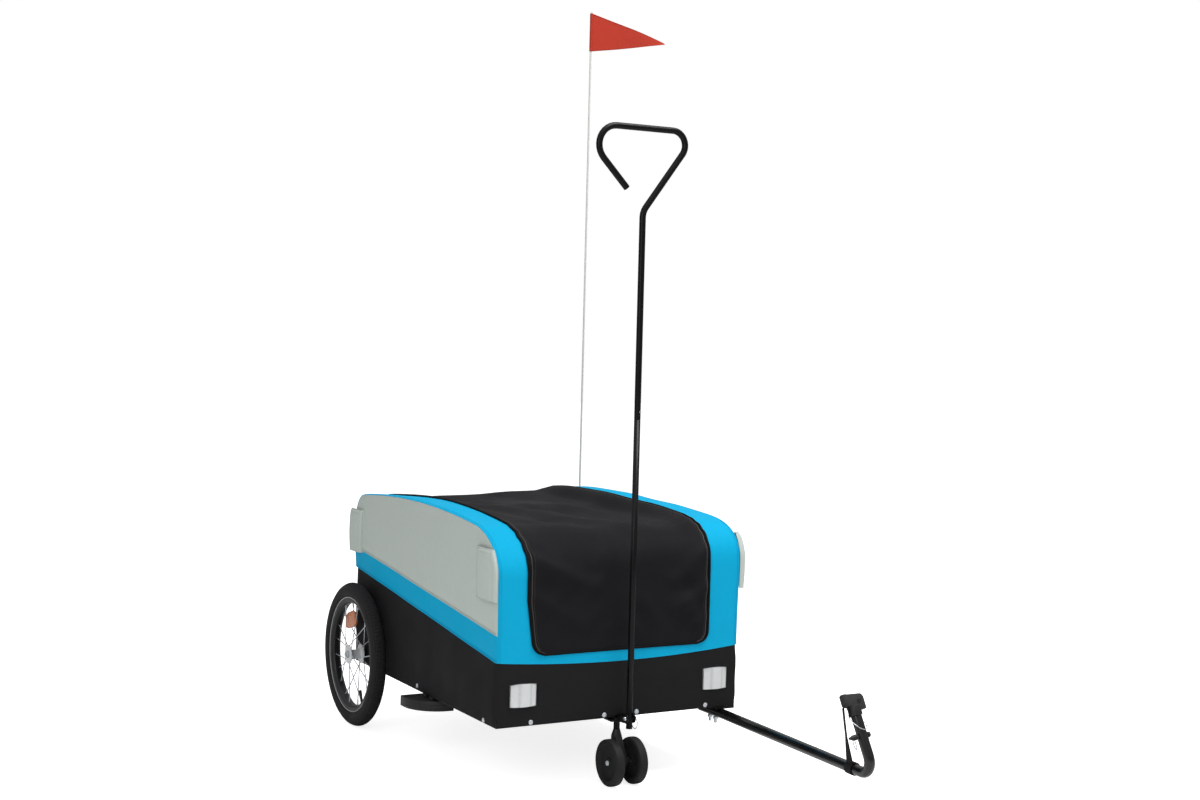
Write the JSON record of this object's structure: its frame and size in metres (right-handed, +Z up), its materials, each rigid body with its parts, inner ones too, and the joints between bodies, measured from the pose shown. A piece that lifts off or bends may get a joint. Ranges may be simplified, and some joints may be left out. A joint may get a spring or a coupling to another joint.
{
  "type": "bicycle trailer",
  "caption": "Bicycle cargo trailer with a lidded fabric tub, spoked wheels, a twin-wheel caster, an upright pull handle, a towing arm and a flag.",
  "frame": {"origin": "middle of the trailer's footprint, on the ground", "axes": "+Z up; -Y towards the towing vehicle; +X the trailer's own left, the towing arm's side"},
  "size_m": [1.009, 1.6554, 2.07],
  "materials": {
    "black_polyester": "matt black woven polyester",
    "blue_polyester": "bright blue woven polyester",
    "grey_polyester": "light grey woven polyester",
    "black_plastic": "black moulded plastic",
    "black_steel": "satin black powder coat",
    "rubber": "black rubber",
    "rim": "dark anodised rim with a machined braking band",
    "zinc": "bright zinc plating",
    "clear_reflector": "clear prismatic reflector",
    "red_reflector": "red prismatic reflector",
    "amber_reflector": "amber prismatic reflector",
    "red_nylon": "thin red-orange nylon",
    "white_rod": "white glass-fibre rod",
    "webbing": "black woven webbing"
  },
  "bodies": {
    "chassis": {"axle_tube": "black_steel", "base_frame": "black_steel", "caster_bracket": "black_steel", "drawbar_bracket": "black_steel", "drawbar_pivot_bolt": "zinc", "flag_sleeve": "black_plastic", "floor_board": "black_plastic", "front_left_flap": "grey_polyester", "front_left_reflector": "clear_reflector", "front_right_flap": "grey_polyester", "front_right_reflector": "clear_reflector", "front_strip": "blue_polyester", "handle_bracket": "black_steel", "handle_ring_pin": "zinc", "left_axle": "zinc", "left_band": "blue_polyester", "left_hoop": "black_steel", "left_side_panel": "grey_polyester", "left_side_stripe": "blue_polyester", "left_wheel_guard": "black_plastic", "lower_skirt": "black_polyester", "rear_crossbar": "black_steel", "rear_left_flap": "grey_polyester", "rear_left_reflector": "red_reflector", "rear_right_flap": "grey_polyester", "rear_right_reflector": "red_reflector", "rear_strip": "blue_polyester", "right_axle": "zinc", "right_band": "blue_polyester", "right_hoop": "black_steel", "right_side_panel": "grey_polyester", "right_side_stripe": "blue_polyester", "right_wheel_guard": "black_plastic"},
    "left_wheel": {"left_hub_and_spokes": "zinc", "left_rim": "rim", "left_spoke_reflector": "amber_reflector", "left_tyre": "rubber"},
    "right_wheel": {"right_hub_and_spokes": "zinc", "right_rim": "rim", "right_spoke_reflector": "amber_reflector", "right_tyre": "rubber"},
    "left_button": {"left_release_button": "zinc"},
    "right_button": {"right_release_button": "zinc"},
    "caster": {"caster_fork": "black_plastic", "caster_axle": "zinc"},
    "caster_left_wheel": {"caster_wheel_left": "rubber"},
    "caster_right_wheel": {"caster_wheel_right": "rubber"},
    "handle_base": {"handle_lower_tube": "black_steel"},
    "handle_top": {"handle_upper_tube": "black_steel"},
    "snap_button": {"handle_snap_button": "zinc"},
    "drawbar": {"drawbar_tube": "black_steel", "drawbar_lock_bolt": "zinc", "safety_strap": "webbing"},
    "hitch": {"hitch_coupler": "black_plastic", "hitch_strap_cap": "webbing"},
    "hitch_pin": {"hitch_pin": "black_plastic"},
    "flag": {"flag_pole": "white_rod", "pennant": "red_nylon"},
    "lid": {"cover": "black_polyester"}
  },
  "joints": [
    {"name": "left_wheel_spin", "type": "hinge", "parent": "chassis", "child": "left_wheel", "pos_m": [0.27185, 0.62818, 0.1995], "axis": [1, 0, 0], "continuous": true},
    {"name": "right_wheel_spin", "type": "hinge", "parent": "chassis", "child": "right_wheel", "pos_m": [-0.47515, 0.62818, 0.1995], "axis": [1, 0, 0], "continuous": true},
    {"name": "left_release_press", "type": "slide", "parent": "chassis", "child": "left_button", "axis": [-1, 0, 0], "range_m": [0, 0.0025], "stiffness_N_per_m": 600},
    {"name": "right_release_press", "type": "slide", "parent": "chassis", "child": "right_button", "axis": [1, 0, 0], "range_m": [0, 0.0025], "stiffness_N_per_m": 600},
    {"name": "caster_swivel", "type": "hinge", "parent": "chassis", "child": "caster", "pos_m": [-0.10165, -0.19942, 0.12], "axis": [0, 0, 1], "continuous": true},
    {"name": "caster_left_spin", "type": "hinge", "parent": "caster", "child": "caster_left_wheel", "pos_m": [-0.06915, -0.22842, 0.058], "axis": [1, 0, 0], "continuous": true},
    {"name": "caster_right_spin", "type": "hinge", "parent": "caster", "child": "caster_right_wheel", "pos_m": [-0.13415, -0.22842, 0.058], "axis": [1, 0, 0], "continuous": true},
    {"name": "handle_fold", "type": "hinge", "parent": "chassis", "child": "handle_base", "pos_m": [-0.10165, -0.26042, 0.172], "axis": [1, 0, 0], "range_deg": [0, 80]},
    {"name": "handle_top_lift", "type": "slide", "parent": "handle_base", "child": "handle_top", "axis": [0, 0, 1], "range_m": [0, 0.06]},
    {"name": "snap_button_press", "type": "slide", "parent": "handle_top", "child": "snap_button", "axis": [-0.5, 0.866, 0], "range_m": [0, 0.003], "stiffness_N_per_m": 600},
    {"name": "drawbar_swing", "type": "hinge", "parent": "chassis", "child": "drawbar", "pos_m": [0.20535, -0.15342, 0.1462], "axis": [0, 0, 1], "range_deg": [0, 90]},
    {"name": "hitch_swivel", "type": "hinge", "parent": "drawbar", "child": "hitch", "pos_m": [0.19335, -0.77342, 0.26], "axis": [-0.0848, 0.4171, 0.9049], "range_deg": [-30, 30]},
    {"name": "hitch_pin_pull", "type": "slide", "parent": "drawbar", "child": "hitch_pin", "axis": [0.9964, 0.0355, 0.077], "range_m": [0, 0.05]},
    {"name": "flag_lift", "type": "slide", "parent": "chassis", "child": "flag", "axis": [0, 0, 1], "range_m": [0, 0.1]},
    {"name": "cover_lift", "type": "slide", "parent": "chassis", "child": "lid", "axis": [0, 0, 1], "range_m": [0, 0.45]}
  ]
}
